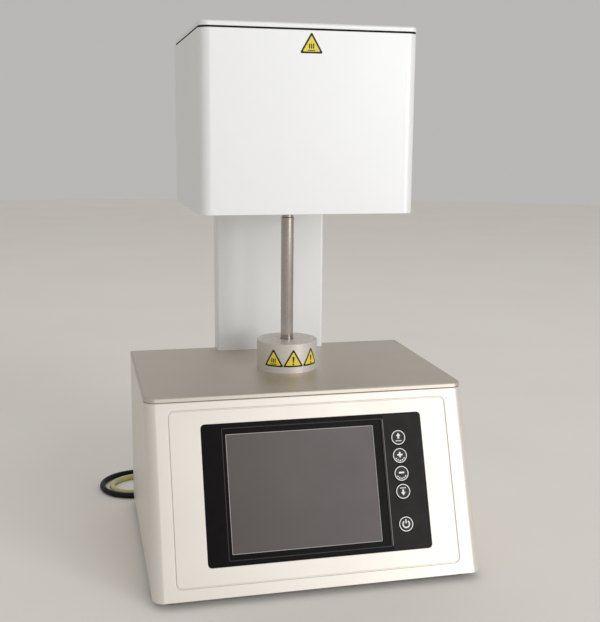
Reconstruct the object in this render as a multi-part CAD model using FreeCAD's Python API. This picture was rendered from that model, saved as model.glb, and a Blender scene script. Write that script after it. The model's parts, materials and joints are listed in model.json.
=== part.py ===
import FreeCAD, Part
# Benchtop porcelain furnace with a firing table that rises into a heated head, in millimetres.
# Origin: middle of the footprint, on the surface that the furnace stands on.
# +Z is up, the sloping control panel faces -Y, +X is to the right seen from the front.
import math
import os
from FreeCAD import Placement, Rotation, Vector

# ---- driving dimensions ----
SHEET = 2.0            # thickness of the bent covers
GAP = 0.4              # play between neighbouring moving pieces
BASE_W = 348.0         # width over the base's side walls
BASE_D = 301.0         # depth of the base at its foot
FRONT_RUN = 73.0       # how far the panel's foot stands in front of its top edge
REAR_REACH = 17.0      # how far the hose fitting stands out behind the base
BASE_TOP = 198.0       # top plate's height above the table
FOOT_H = 8.0           # height of the rubber feet
TRAY_H = 4.6           # depth of the top plate's skirt
CORNER_R = 12.0        # bend radius of the base's front corners
HEAD_W = 226.0
HEAD_BOTTOM = 384.0
HEAD_SEAM = 567.2      # top edge of the head cover
SEAM_H = 1.8           # dark sealing strip under the lid
HEAD_TOP = 574.0
HEAD_SET = 3.0         # head's front behind the base's top front edge
COLUMN_W = 135.0
COLUMN_D = 23.0
COLLAR_R = 35.0
COLLAR_H = 33.5
ROD_R = 7.25
ROD_SET = 109.5        # rod's axis behind the base's top front edge

# ---- worked out from them ----
HALF_W = BASE_W / 2
Y_FRONT = -(BASE_D + REAR_REACH) / 2
Y_BACK = Y_FRONT + BASE_D
Y_EDGE = Y_FRONT + FRONT_RUN
Y_REACH = Y_BACK + REAR_REACH
SLOPE = math.atan2(FRONT_RUN, BASE_TOP - FOOT_H)
SKIRT_Z = BASE_TOP - TRAY_H
FLOOR_Z = FOOT_H + SHEET
HEAD_HALF = HEAD_W / 2
HEAD_FRONT = Y_EDGE + HEAD_SET
COLUMN_FRONT = Y_BACK - COLUMN_D
ROD_Y = Y_EDGE + ROD_SET
COLLAR_TOP = BASE_TOP + COLLAR_H
X, Y, Z = Vector(1, 0, 0), Vector(0, 1, 0), Vector(0, 0, 1)

# ---- control panel, measured across, down the slope and inwards from its top edge ----
PLATE = (-149.5, 149.5, 15.0, 190.6)       # inset front plate
BEZEL = (-117.2, 120.8, 29.8, 173.2)
RECESS = (-95.4, 77.4, 35.0, 168.0)        # sunk field round the screen
SCREEN = (-92.0, 67.8, 40.8, 162.6)        # visible part of the screen
KEY_X = 94.4
KEY_ROWS = {"key_up": 55.8, "key_plus": 75.0, "key_minus": 93.9, "key_down": 112.8, "key_power": 146.9}
KEY_R = 8.3
GROOVE = 1.0           # gap between the inset plate and the cover's window

# ---- lift ----
TABLE_BOTTOM = 380.0
TABLE_R = 46.0
PLINTH_R = 36.0
ROD_BOTTOM = 174.0
CARRIAGE_H = 12.0
SCREW_Y = ROD_Y + 46.0
SCREW_R = 4.0
PULLEY_R = 11.0
PULLEY_Z = (18.0, 25.0)
MOTOR_X = 62.0
MOTOR_SHAFT_R = 2.5
RUNNING = 0.05         # radial play of a shaft in its bearing

# ---- chamber ----
CHAMBER_R = 45.0
MUFFLE_TOP = 470.0
JACKET_R = 80.0
SHEATH_R = 2.8         # thermocouple's ceramic sheath
FLANGE_Z = (HEAD_BOTTOM + SHEET, HEAD_BOTTOM + SHEET + 6.0)

# ---- rear panel ----
INLET = (-118.0, 104.0)
SWITCH = (-118.0, 150.0)
HOSE_PORT = (-50.0, 80.0)
FAN = (95.0, 110.0)
FAN_R = 28.5

# ---- cords and the inner pipe ----
PIPE_ROUTE = [(-50, Y_BACK - SHEET, 80), (-50, 126, 80), (-48, 122, 95), (-46, 128, 125), (-46, 131, 185),
              (-46, 130, 280), (-46.5, 130, 372), (-45, 124, 396), (-40.5, 112, 403), (-34.6, 98, 402)]
LEAD_R = 3.5
HOSE_R = 3.5
REST_Z = 3.5           # centre line of a cord that lies on the table
COIL_R = (28.0, 49.0)
COIL_H = 14.0
LEAD_COIL = (96.0, 211.0)
HOSE_COIL = (-8.0, 195.0)


# ---- shape helpers ----
def box(x0, x1, y0, y1, z0, z1):
    return Part.makeBox(x1 - x0, y1 - y0, z1 - z0, Vector(x0, y0, z0))


def post(r, z0, z1, x=0.0, y=0.0):
    return Part.makeCylinder(r, z1 - z0, Vector(x, y, z0), Z)


def rod_y(r, y0, y1, x, z):
    return Part.makeCylinder(r, y1 - y0, Vector(x, y0, z), Y)


def ring(outer, inner, z0, z1, x=0.0, y=0.0):
    return post(outer, z0, z1, x, y).cut(post(inner, z0 - 1, z1 + 1, x, y))


def torus(major, minor, z, x=0.0, y=0.0):
    return Part.makeTorus(major, minor, Vector(x, y, z), Z)


def group(shapes):
    """Separate solids of one node."""
    return Part.makeCompound([solid for shape in shapes for solid in shape.Solids])


def fused(shapes):
    return shapes[0].multiFuse(shapes[1:]).removeSplitter()


def upright_edges(shape):
    return [e for e in shape.Edges if len(e.Vertexes) == 2
            and abs(abs(e.tangentAt(e.FirstParameter).dot(Z)) - 1) < 1e-6]


def slab(x0, x1, y0, y1, z0, z1, r):
    """Plate with rounded upright corners."""
    plate = box(x0, x1, y0, y1, z0, z1)
    return plate.makeFillet(r, upright_edges(plate))


def front_rounded(x0, x1, y0, y1, z0, z1, r):
    """Box with only its two front upright edges rounded."""
    plate = box(x0, x1, y0, y1, z0, z1)
    return plate.makeFillet(r, [e for e in upright_edges(plate) if e.CenterOfMass.y < y0 + 0.01])


def softened(shape, z, r):
    """Round the outer edges that lie at height z."""
    edges = [e for e in shape.Edges if abs(e.BoundBox.ZMin - z) < 1e-4 and abs(e.BoundBox.ZMax - z) < 1e-4]
    return shape.makeFillet(r, edges)


def on_panel(shape):
    """Lay a shape drawn as across, down the slope and inwards onto the sloping front."""
    place = Placement(Vector(0, Y_EDGE, BASE_TOP), Rotation(X, -90 - math.degrees(SLOPE)))
    laid = shape.copy()
    laid.Placement = place.multiply(laid.Placement)
    return laid


def wedge(inset, z0, z1, back=Y_BACK):
    """The base's outer form drawn in by inset, between two heights, with bent front corners."""
    def front(z):
        return Y_EDGE - (BASE_TOP - z) * math.tan(SLOPE) + inset / math.cos(SLOPE)
    half, low, high = HALF_W - inset, FOOT_H - 30, BASE_TOP + 30
    outline = [Vector(-half, front(low), low), Vector(-half, front(high), high),
               Vector(-half, back, high), Vector(-half, back, low)]
    solid = Part.Face(Part.makePolygon(outline + outline[:1])).extrude(Vector(2 * half, 0, 0))
    lean = Vector(0, math.sin(SLOPE), math.cos(SLOPE))
    corners = [e for e in solid.Edges if abs(abs(e.tangentAt(e.FirstParameter).dot(lean)) - 1) < 1e-6]
    solid = solid.makeFillet(max(CORNER_R - inset, 2.0), corners)
    return solid.common(box(-BASE_W, BASE_W, -BASE_D, BASE_D, z0, z1))


def tube(points, r):
    """Round cord along straight runs joined by tangent arcs."""
    points = [Vector(*p) for p in points]
    edges, start, radii = [], points[0], []
    for before, corner, after in zip(points, points[1:], points[2:]):
        back, ahead = before - corner, after - corner
        short = 0.45 * min(back.Length, ahead.Length)
        back.normalize()
        ahead.normalize()
        turn = math.pi - back.getAngle(ahead)
        radius = short / math.tan(turn / 2)
        middle = back + ahead
        middle.normalize()
        enter, leave = corner + back * short, corner + ahead * short
        crown = corner + middle * (radius / math.cos(turn / 2) - radius)
        edges += [Part.LineSegment(start, enter).toShape(), Part.Arc(enter, crown, leave).toShape()]
        start = leave
        radii.append(radius)
    edges.append(Part.LineSegment(start, points[-1]).toShape())
    path = Part.Wire(edges)
    direction = points[1] - points[0]
    section = Part.Wire(Part.makeCircle(r, points[0], direction))
    solid = path.makePipeShell([section], True, False)
    ideal = math.pi * r * r * path.Length
    print("cord: length %.0f, tightest arc %.1f, volume against section times length %.4f"
          % (path.Length, min(radii), solid.Volume / ideal))
    return solid


# ---- base ----
def base_cover():
    """Front and sides in one bent sheet, with an upstand inside the top plate's skirt."""
    wall = wedge(0, FOOT_H, SKIRT_Z - 0.8).cut(wedge(SHEET, FOOT_H - 5, SKIRT_Z + 5, Y_BACK + 5))
    upstand = wedge(SHEET, SKIRT_Z - 4, BASE_TOP - SHEET, Y_BACK - SHEET).cut(
        wedge(SHEET + 1.5, SKIRT_Z - 12, BASE_TOP + 2, Y_BACK + 5))
    cover = fused([wall, upstand])
    x0, x1, v0, v1 = PLATE
    return cover.cut(on_panel(slab(x0 - GROOVE, x1 + GROOVE, v0 - GROOVE, v1 + GROOVE, -5, 9, 6.5)))


def top_plate():
    """Shallow tray with rounded edges, pierced for the collar and the mast."""
    plate = softened(wedge(0, SKIRT_Z, BASE_TOP), BASE_TOP, 2.6)
    plate = plate.cut(wedge(SHEET, SKIRT_Z - 5, BASE_TOP - SHEET, Y_BACK - SHEET))
    plate = plate.cut(post(18, SKIRT_Z, BASE_TOP + 1, 0, ROD_Y))
    return plate.cut(box(-58, 58, COLUMN_FRONT + 2.5, Y_BACK - 3.5, SKIRT_Z, BASE_TOP + 1))


def base_floor():
    """Bottom plate with a row of air slots on each side."""
    plate = wedge(SHEET, FOOT_H, FLOOR_Z, Y_BACK - SHEET)
    slots = [slab(x, x + 30, y, y + 4, FOOT_H - 1, FLOOR_Z + 1, 1.9)
             for x in (-90, 62) for y in range(-110, -50, 10)]
    return plate.cut(group(slots))


def feet():
    spots = [(x, y) for x in (-HALF_W + 20, HALF_W - 20) for y in (Y_FRONT + 24, Y_BACK - 24)]
    return group([Part.makeCone(10.0, 12.0, FOOT_H, Vector(x, y, 0), Z) for x, y in spots])


def transformer():
    """Ring transformer on the floor, with its clamping disc and bolt."""
    x, y = -104.0, 58.0
    winding = ring(46, 15, FLOOR_Z + 2, FLOOR_Z + 42, x, y)
    rims = [e for e in winding.Edges if e.BoundBox.XLength > 80 and e.BoundBox.ZLength < 1]
    winding = winding.makeFillet(9, rims)
    return group([winding, post(46, FLOOR_Z, FLOOR_Z + 2, x, y),
                  post(24, FLOOR_Z + 42, FLOOR_Z + 44, x, y).fuse(post(4, FLOOR_Z + 2, FLOOR_Z + 50, x, y))])


def power_board():
    """Circuit board on pillars with heat sink fins, relays and a terminal row."""
    x0, x1, y0, y1, z = 112.0, 166.0, -60.0, 60.0, FLOOR_Z + 8
    parts = [box(x0, x1, y0, y1, z, z + 1.6)]
    parts += [post(3, FLOOR_Z, z, x, y) for x in (x0 + 5, x1 - 5) for y in (y0 + 5, y1 - 5)]
    parts += [box(x0 + 4, x0 + 36, y0 + 20 + 6 * i, y0 + 22 + 6 * i, z + 1.6, z + 28) for i in range(7)]
    parts += [box(x0 + 8, x0 + 24, y1 - 45 + 20 * i, y1 - 31 + 20 * i, z + 1.6, z + 17) for i in range(2)]
    parts += [box(x1 - 14, x1 - 4, y0 + 10, y1 - 12, z + 1.6, z + 13)]
    return group(parts)


# ---- control panel ----
def frame_with_lip(edge, corner, depth, lip, lip_depth):
    """Flat plate with a wider lip round its back."""
    x0, x1, v0, v1 = edge
    return fused([slab(x0, x1, v0, v1, depth[0], depth[1], corner),
                  slab(x0 - lip, x1 + lip, v0 - lip, v1 + lip, lip_depth[0], lip_depth[1], corner + 2)])


def inset_plate():
    """Front plate that sits in the cover's window with a thin groove round it."""
    plate = frame_with_lip(PLATE, 5.5, (0, SHEET + 1), 5, (SHEET + 0.01, SHEET + 1.5))
    x0, x1, v0, v1 = BEZEL
    plate = plate.cut(slab(x0 - 0.3, x1 + 0.3, v0 - 0.3, v1 + 0.3, -1, 9, 4.3))
    return on_panel(plate)


def bezel():
    """Black fascia with a sunk screen field, a screen window and five key holes."""
    plate = frame_with_lip(BEZEL, 4.0, (0.3, 5.0), 5, (SHEET + 1.5, 5.0))
    x0, x1, v0, v1 = RECESS
    plate = plate.cut(slab(x0, x1, v0, v1, -1, 1.5, 2.0))
    x0, x1, v0, v1 = SCREEN
    plate = plate.cut(slab(x0, x1, v0, v1, -1, 9, 0.8))
    plate = plate.cut(slab(x0 - 3, x1 + 3, v0 - 3, v1 + 3, 2.2, 9, 2.0))
    holes = [post(KEY_R + GAP, -1, 9, KEY_X, v) for v in KEY_ROWS.values()]
    first, last = min(KEY_ROWS.values()), max(KEY_ROWS.values())
    well = box(KEY_X - 10.2, KEY_X + 10.2, first - 10.2, last + 10.2, 3.2, 9)
    return on_panel(plate.cut(group(holes)).cut(well))


def screen_glass():
    x0, x1, v0, v1 = SCREEN
    return on_panel(slab(x0 - 2.8, x1 + 2.8, v0 - 2.8, v1 + 2.8, 2.2, 3.6, 1.8))


def display_module():
    x0, x1, v0, v1 = SCREEN
    can = slab(x0 - 2.8, x1 + 2.8, v0 - 2.8, v1 + 2.8, 3.6, 11.0, 1.8)
    return on_panel(group([can, box(x0 + 20, x0 + 70, v1 - 30, v1 - 10, 11.0, 14.0)]))


def key_board():
    """Narrow circuit board with one push switch under each key."""
    first, last = min(KEY_ROWS.values()), max(KEY_ROWS.values())
    parts = [box(KEY_X - 11, KEY_X + 11, first - 12, last + 12, 13.0, 14.6)]
    parts += [fused([box(KEY_X - 3, KEY_X + 3, v - 3, v + 3, 10.2, 13.0), post(1.7, 9.2, 10.2, KEY_X, v)])
              for v in KEY_ROWS.values()]
    parts += [box(x - 2, x + 2, v - 2, v + 2, 5.0, 13.0)
              for x in (KEY_X - 9, KEY_X + 9) for v in (first - 10, last + 10)]
    return parts


def control_boards():
    """Main board on four pillars behind the display, and the key board beside it."""
    x0, x1, v0, v1 = SCREEN
    parts = key_board() + [box(x0, x1, v0, v1, 20, 21.6)]
    parts += [post(3, 11, 20, x, v) for x in (x0 + 6, x1 - 6) for v in (v0 + 6, v1 - 6)]
    parts += [box(x0 + 50, x0 + 78, v0 + 30, v0 + 58, 21.6, 24.0)]
    parts += [box(x0 + 95, x0 + 112, v0 + 30, v0 + 42, 21.6, 23.5)]
    parts += [box(x0 + 20 + 24 * i, x0 + 38 + 24 * i, v1 - 14, v1 - 6, 21.6, 30.0) for i in range(5)]
    return on_panel(group(parts))


def key(v):
    """Round key: cap, retaining rim behind the bezel, and stem."""
    cap = post(KEY_R, -0.1, 4.4, KEY_X, v)
    cap = cap.makeChamfer(0.35, [e for e in cap.Edges if e.BoundBox.ZMax < 0])
    return on_panel(fused([cap, post(KEY_R + 0.8, 3.5, 4.4, KEY_X, v), post(2.5, 4.4, 8.0, KEY_X, v)]))


# ---- lift ----
def collar():
    """Turned ring on the top plate, with a spigot through it that holds the guide bush."""
    body = post(COLLAR_R, BASE_TOP, COLLAR_TOP, 0, ROD_Y)
    body = softened(body, COLLAR_TOP, 1.0).fuse(post(18, 189, BASE_TOP, 0, ROD_Y))
    body = body.cut(post(11.5, 180, COLLAR_TOP - 3, 0, ROD_Y))
    return body.cut(post(ROD_R + 0.6, 180, COLLAR_TOP + 1, 0, ROD_Y))


def guide_bush():
    return ring(11.5, ROD_R + RUNNING, 189, COLLAR_TOP - 3, 0, ROD_Y)


def lift_rod():
    rod = post(ROD_R, ROD_BOTTOM, TABLE_BOTTOM, 0, ROD_Y)
    rod = rod.fuse(post(4, TABLE_BOTTOM, TABLE_BOTTOM + 3, 0, ROD_Y))
    return rod.removeSplitter()


def lift_carriage():
    """Arm that clamps the rod's foot and carries the nut."""
    z0, z1 = ROD_BOTTOM, ROD_BOTTOM + CARRIAGE_H
    arm = slab(-15, 15, ROD_Y - 15, SCREW_Y + 15, z0, z1, 6)
    arm = arm.cut(post(ROD_R, z0 - 1, z1 + 1, 0, ROD_Y)).cut(post(7, z0 - 1, z1 + 1, 0, SCREW_Y))
    return arm.cut(box(-0.8, 0.8, ROD_Y - 20, ROD_Y, z0 - 1, z1 + 1))


def lift_nut():
    z0, z1 = ROD_BOTTOM, ROD_BOTTOM + CARRIAGE_H
    nut = post(7, z0, z1, 0, SCREW_Y).fuse(post(11, z1, z1 + 2, 0, SCREW_Y))
    return nut.cut(post(SCREW_R + RUNNING, z0 - 5, z1 + 5, 0, SCREW_Y)).removeSplitter()


def pulley(x, bore):
    """Belt pulley with two rims."""
    z0, z1 = PULLEY_Z
    body = [post(PULLEY_R, z0, z1, x, SCREW_Y), post(PULLEY_R + 2, z0 - 1, z0, x, SCREW_Y)]
    body.append(post(PULLEY_R + 2, z1, z1 + 0.6, x, SCREW_Y))
    return fused(body).cut(post(bore, z0 - 5, z1 + 5, x, SCREW_Y))


def lead_screw():
    """Upright screw with its belt pulley."""
    return group([post(SCREW_R, FLOOR_Z + 0.5, BASE_TOP - SHEET - 2, 0, SCREW_Y), pulley(0, SCREW_R)])


def motor_pulley():
    """Motor shaft with its belt pulley."""
    shaft = post(MOTOR_SHAFT_R, PULLEY_Z[0] - 2, 40, MOTOR_X, SCREW_Y)
    return group([shaft, pulley(MOTOR_X, MOTOR_SHAFT_R)])


def drive_belt():
    """Closed belt round both pulleys, a hair clear of them."""
    z0, z1 = PULLEY_Z[0] + 0.7, PULLEY_Z[1] - 0.7

    def loop(r):
        return fused([post(r, z0, z1, 0, SCREW_Y), post(r, z0, z1, MOTOR_X, SCREW_Y),
                      box(0, MOTOR_X, SCREW_Y - r, SCREW_Y + r, z0, z1)])
    return loop(PULLEY_R + 1.8).cut(loop(PULLEY_R + GAP).copy())


def lift_brackets():
    """Screw bearings on the floor and under the top plate, and the small table that carries the motor."""
    top = BASE_TOP - SHEET
    bore = post(SCREW_R + RUNNING, 0, top - 1.5, 0, SCREW_Y)
    blocks = [slab(-14, 14, SCREW_Y - 14, SCREW_Y + 14, z0, z1, 3).cut(bore)
              for z0, z1 in ((FLOOR_Z, PULLEY_Z[0] - 2), (top - 7, top))]
    x0, x1, y0, y1 = MOTOR_X - 26, MOTOR_X + 26, SCREW_Y - 26, SCREW_Y + 26
    plate = box(x0, x1, y0, y1, 29, 32).cut(post(12, 20, 40, MOTOR_X, SCREW_Y))
    legs = [box(x0, x1, y, y + 3, FLOOR_Z, 29) for y in (y0, y1 - 3)]
    return group(blocks + [fused([plate] + legs)])


def lift_motor():
    """Square stepping motor with end caps and a blind shaft bore."""
    def block(half, z0, z1):
        return slab(MOTOR_X - half, MOTOR_X + half, SCREW_Y - half, SCREW_Y + half, z0, z1, 4)
    body = fused([block(21, 32, 42), block(20, 42, 60), block(21, 60, 70),
                  post(11, 30, 32, MOTOR_X, SCREW_Y)])
    return body.cut(post(MOTOR_SHAFT_R + RUNNING, 20, 42, MOTOR_X, SCREW_Y))


def firing_table():
    """Metal dish on top of the rod, with a groove for the seal."""
    top = TABLE_BOTTOM + 4.4
    dish = softened(post(TABLE_R, TABLE_BOTTOM, top, 0, ROD_Y), TABLE_BOTTOM, 1.2)
    dish = dish.cut(post(4, TABLE_BOTTOM - 1, TABLE_BOTTOM + 3, 0, ROD_Y))
    return dish.cut(table_seal())


def table_seal():
    return torus(41.5, 1.3, TABLE_BOTTOM + 4.4, 0, ROD_Y)


def table_plinth():
    """Insulating block with a shallow seat for the tray."""
    z0, z1 = TABLE_BOTTOM + 4.4, 412.0
    return post(PLINTH_R, z0, z1, 0, ROD_Y).cut(post(31, z1 - 2, z1 + 1, 0, ROD_Y))


def firing_tray():
    """Round honeycomb tray that lifts off the plinth."""
    z0, z1 = 410.05, 416.0
    holes = [post(1.4, z0 - 1, z1 + 1, x + (3.2 if row % 2 else 0), ROD_Y + y)
             for row, y in enumerate((-19.5, -13.0, -6.5, 0.0, 6.5, 13.0, 19.5))
             for x in (-19.2, -12.8, -6.4, 0.0, 6.4, 12.8)]
    return post(30, z0, z1, 0, ROD_Y).cut(group(holes))


# ---- column ----
def column_shell():
    """Bent channel that covers the mast's front and sides."""
    half, top = COLUMN_W / 2, HEAD_BOTTOM + 8
    outer = front_rounded(-half, half, COLUMN_FRONT, Y_BACK - SHEET, BASE_TOP, top, 3.0)
    inner = front_rounded(-half + SHEET, half - SHEET, COLUMN_FRONT + SHEET, Y_BACK,
                          BASE_TOP - 1, top + 1, 1.0)
    return outer.cut(inner)


def column_back():
    return box(-COLUMN_W / 2, COLUMN_W / 2, Y_BACK - SHEET, Y_BACK, BASE_TOP, HEAD_BOTTOM + SHEET)


def mast():
    """Rectangular steel tube that carries the head, on a foot bolted to the floor."""
    y0, y1 = COLUMN_FRONT + 4, Y_BACK - 5
    outer = box(-30, 30, y0, y1, FLOOR_Z + 4, 520)
    inner = box(-28, 28, y0 + 2, y1 - 2, FLOOR_Z + 3, 521)
    return fused([outer.cut(inner), box(-45, 45, y0 - 12, y1, FLOOR_Z, FLOOR_Z + 4)])


# ---- head ----
def head_cover():
    """Front and sides of the head in one bent sheet."""
    outer = front_rounded(-HEAD_HALF, HEAD_HALF, HEAD_FRONT, Y_BACK, HEAD_BOTTOM, HEAD_SEAM, 11.5)
    inner = front_rounded(-HEAD_HALF + SHEET, HEAD_HALF - SHEET, HEAD_FRONT + SHEET, Y_BACK + 5,
                          HEAD_BOTTOM - 1, HEAD_SEAM + 1, 9.5)
    return outer.cut(inner)


def head_back():
    """Back plate with two rows of air slots."""
    half = HEAD_HALF - SHEET
    plate = box(-half, half, Y_BACK - SHEET, Y_BACK, HEAD_BOTTOM + SHEET, HEAD_SEAM)
    slots = [box(x, x + 4, Y_BACK - 5, Y_BACK + 1, z, z + 26)
             for x in range(-66, 64, 12) for z in (495, 530)]
    return plate.cut(group(slots))


def head_floor():
    """Bottom plate with the round mouth of the chamber and a notch for the column."""
    half = HEAD_HALF - SHEET
    z0, z1 = HEAD_BOTTOM, HEAD_BOTTOM + SHEET
    plate = front_rounded(-half, half, HEAD_FRONT + SHEET, Y_BACK, z0, z1, 9.5)
    plate = plate.cut(post(TABLE_R + 1.5, z0 - 1, z1 + 1, 0, ROD_Y))
    notch = COLUMN_W / 2 + 0.2
    return plate.cut(box(-notch, notch, COLUMN_FRONT - 0.2, Y_BACK + 1, z0 - 1, z1 + 1))


def head_lid():
    """Shallow lid with soft top edges."""
    z0 = HEAD_SEAM + SEAM_H
    lid = slab(-HEAD_HALF, HEAD_HALF, HEAD_FRONT, Y_BACK, z0, HEAD_TOP, 10)
    lid = softened(lid, HEAD_TOP, 2.2)
    edge = SHEET + 0.5
    return lid.cut(slab(-HEAD_HALF + edge, HEAD_HALF - edge, HEAD_FRONT + edge, Y_BACK - edge,
                        z0 - 1, HEAD_TOP - SHEET, 7.5))


def lid_seal():
    """Dark strip between the head cover and the lid."""
    z0, z1 = HEAD_SEAM, HEAD_SEAM + SEAM_H
    outer = slab(-HEAD_HALF + 0.7, HEAD_HALF - 0.7, HEAD_FRONT + 0.7, Y_BACK - 0.7, z0, z1, 9.3)
    return outer.cut(slab(-HEAD_HALF + 6, HEAD_HALF - 6, HEAD_FRONT + 6, Y_BACK - 6, z0 - 1, z1 + 1, 5))


def flange_bolts():
    angles = [math.radians(30 + 60 * i) for i in range(6)]
    return [(60 * math.cos(a), ROD_Y + 60 * math.sin(a)) for a in angles]


def chamber_flange():
    """Ring bolted over the mouth; the table's seal closes against its underside."""
    z0, z1 = FLANGE_Z
    bolts = [post(3, z1, z1 + 2.5, x, y) for x, y in flange_bolts()]
    return group([ring(66, PLINTH_R + 2, z0, z1, 0, ROD_Y)] + bolts)


def heating_muffle():
    """Quartz tube closed at the top, round the firing space."""
    z0 = FLANGE_Z[1]
    pot = post(CHAMBER_R + 3, z0, MUFFLE_TOP, 0, ROD_Y)
    pot = pot.cut(post(CHAMBER_R, z0 - 1, MUFFLE_TOP - 3, 0, ROD_Y))
    return pot.cut(post(SHEATH_R + 0.4, MUFFLE_TOP - 9, MUFFLE_TOP + 1, 0, ROD_Y))


def heating_coil():
    """Heater turns round the inside of the muffle, with a straight lead along them."""
    major, low, rise = CHAMBER_R - 1.6, FLANGE_Z[1] + 8, 6.5
    turns = [torus(major, 1.0, low + rise * i, 0, ROD_Y) for i in range(10)]
    lead = post(1.0, low - 2, low + rise * 9 + 2, 0, ROD_Y + major - 2.05)
    return group(turns + [lead])


def insulation():
    """Two half shells of fibre board round the muffle, and a round cap on them."""
    outer, cap_top = JACKET_R - 2.2, MUFFLE_TOP + 30
    shell = ring(outer, CHAMBER_R + 3.2, FLANGE_Z[1], MUFFLE_TOP, 0, ROD_Y)
    room = [post(4, FLANGE_Z[1] - 1, FLANGE_Z[1] + 2.8, x, y) for x, y in flange_bolts()]
    split = box(-0.2, 0.2, ROD_Y - 99, ROD_Y + 99, 0, 999)
    cap = post(outer, MUFFLE_TOP, cap_top, 0, ROD_Y).cut(post(SHEATH_R + 0.4, 0, 999, 0, ROD_Y))
    return group([shell.cut(group(room)).cut(split), cap])


def chamber_jacket():
    """Sheet can round the insulation, standing on the flange."""
    top = MUFFLE_TOP + 32
    can = post(JACKET_R, FLANGE_Z[1], top, 0, ROD_Y)
    can = can.cut(post(JACKET_R - 2, FLANGE_Z[1] - 1, top - 2, 0, ROD_Y))
    foot = ring(JACKET_R, 66.2, FLANGE_Z[0], FLANGE_Z[1], 0, ROD_Y)
    return fused([can, foot]).cut(post(SHEATH_R + 0.4, top - 5, top + 1, 0, ROD_Y))


def thermocouple():
    """Ceramic sheath down through the cap, with its connection head."""
    top = MUFFLE_TOP + 32
    return fused([post(SHEATH_R, MUFFLE_TOP - 6, top, 0, ROD_Y), post(9, top, top + 14, 0, ROD_Y)])


# ---- rear panel ----
def rear_panel():
    plate = box(-HALF_W + SHEET, HALF_W - SHEET, Y_BACK - SHEET, Y_BACK, FLOOR_Z - SHEET, SKIRT_Z - 0.8)
    y0, y1 = Y_BACK - 5, Y_BACK + 1
    cuts = [rod_y(FAN_R, y0, y1, *FAN), rod_y(5, y0, y1, *HOSE_PORT)]
    for (x, z), half_w, half_h in ((INLET, 13.5, 10), (SWITCH, 13, 9.5)):
        cuts.append(box(x - half_w, x + half_w, y0, y1, z - half_h, z + half_h))
    cuts += [box(x, x + 3, y0, y1, 30, 60) for x in range(20, 150, 8)]
    return plate.cut(group(cuts))


def flanged_box(x, z, half_w, half_h, depth):
    """Socket body with a flange outside the rear panel."""
    body = box(x - half_w, x + half_w, Y_BACK - depth, Y_BACK, z - half_h, z + half_h)
    flange = box(x - half_w - 4, x + half_w + 4, Y_BACK, Y_BACK + 2, z - half_h - 2.5, z + half_h + 2.5)
    return fused([body, flange])


def mains_inlet():
    """Three-pole appliance inlet: a well with three blades."""
    x, z = INLET
    well = box(x - 12, x + 12, Y_BACK - 17, Y_BACK + 3, z - 8, z + 8)
    blades = [box(x + a - 1, x + a + 1, Y_BACK - 18, Y_BACK - 3, z + b - 2, z + b + 2)
              for a, b in ((-7, -2), (7, -2), (0, 3))]
    return fused([flanged_box(x, z, 13.5, 10, 26).cut(well)] + blades)


def switch_frame():
    """Rocker switch body with side bearings for the rocker's pins."""
    x, z = SWITCH
    body = flanged_box(x, z, 13, 9.5, 22)
    body = body.cut(box(x - 11, x + 11, Y_BACK - 12, Y_BACK + 3, z - 7.5, z + 7.5))
    return body.cut(Part.makeCylinder(1.5 + RUNNING, 25, Vector(x - 12.5, Y_BACK - 3, z), X))


def switch_rocker():
    """Rocker, tilted to its on side, on two pins."""
    x, z = SWITCH
    outline = [(-6.6, 4.0), (0, 2.6), (6.6, 4.0), (6.0, -4.0), (0, -6.0), (-6.0, -4.0)]
    points = [Vector(x - 10.6, Y_BACK - 3 + out, z + up) for up, out in outline]
    body = Part.Face(Part.makePolygon(points + points[:1])).extrude(Vector(21.2, 0, 0))
    rocker = body.fuse(Part.makeCylinder(1.5, 24.4, Vector(x - 12.2, Y_BACK - 3, z), X))
    rocker.rotate(Vector(x, Y_BACK - 3, z), X, -7)
    return rocker


def fan_frame():
    """Square fan housing inside the rear panel, with three struts and a hub that holds the axle."""
    x, z = FAN
    y1 = Y_BACK - SHEET
    y0 = y1 - 15
    shell = box(x - 30, x + 30, y0, y1, z - 30, z + 30).cut(rod_y(FAN_R, y0 - 1, y1 + 1, x, z))
    struts = []
    for i in range(3):
        strut = box(x - 1.5, x + 1.5, y0, y0 + 2, z, z + 29.5)
        strut.rotate(Vector(x, 0, z), Y, 120 * i)
        struts.append(strut)
    hub = rod_y(11, y0, y0 + 3, x, z)
    return fused([shell, hub] + struts).cut(rod_y(1.5 + RUNNING, y0 - 1, y1 + 1, x, z))


def fan_rotor():
    """Hub with seven pitched blades and an axle."""
    x, z = FAN
    y1 = Y_BACK - SHEET
    y0 = y1 - 11
    hub = rod_y(12, y0, y1 - 1, x, z).fuse(rod_y(1.5, y0 - 3.8, y0, x, z))
    blades = []
    for i in range(7):
        blade = box(x + 10, x + FAN_R - 1.2, y0 + 4.2, y0 + 5.6, z - 6, z + 6)
        blade.rotate(Vector(x, y0 + 5, z), X, 28)
        blade.rotate(Vector(x, 0, z), Y, 360 / 7 * i)
        blades.append(blade)
    return fused([hub] + blades).common(rod_y(FAN_R - 0.8, y0 - 4, y1 - 0.6, x, z))


def fan_grille():
    """Wire guard: rings and four spokes on the outside of the panel."""
    x, z = FAN
    rings = [rod_y(r + 0.8, Y_BACK, Y_BACK + 2, x, z).cut(rod_y(r - 0.8, Y_BACK - 1, Y_BACK + 3, x, z))
             for r in (9, 15, 21, 27)]
    spokes = []
    for i in range(4):
        spoke = box(x - 0.9, x + 0.9, Y_BACK, Y_BACK + 2, z + 8.5, z + 34)
        spoke.rotate(Vector(x, 0, z), Y, 45 + 90 * i)
        spokes.append(spoke)
    return fused(rings + spokes)


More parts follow.
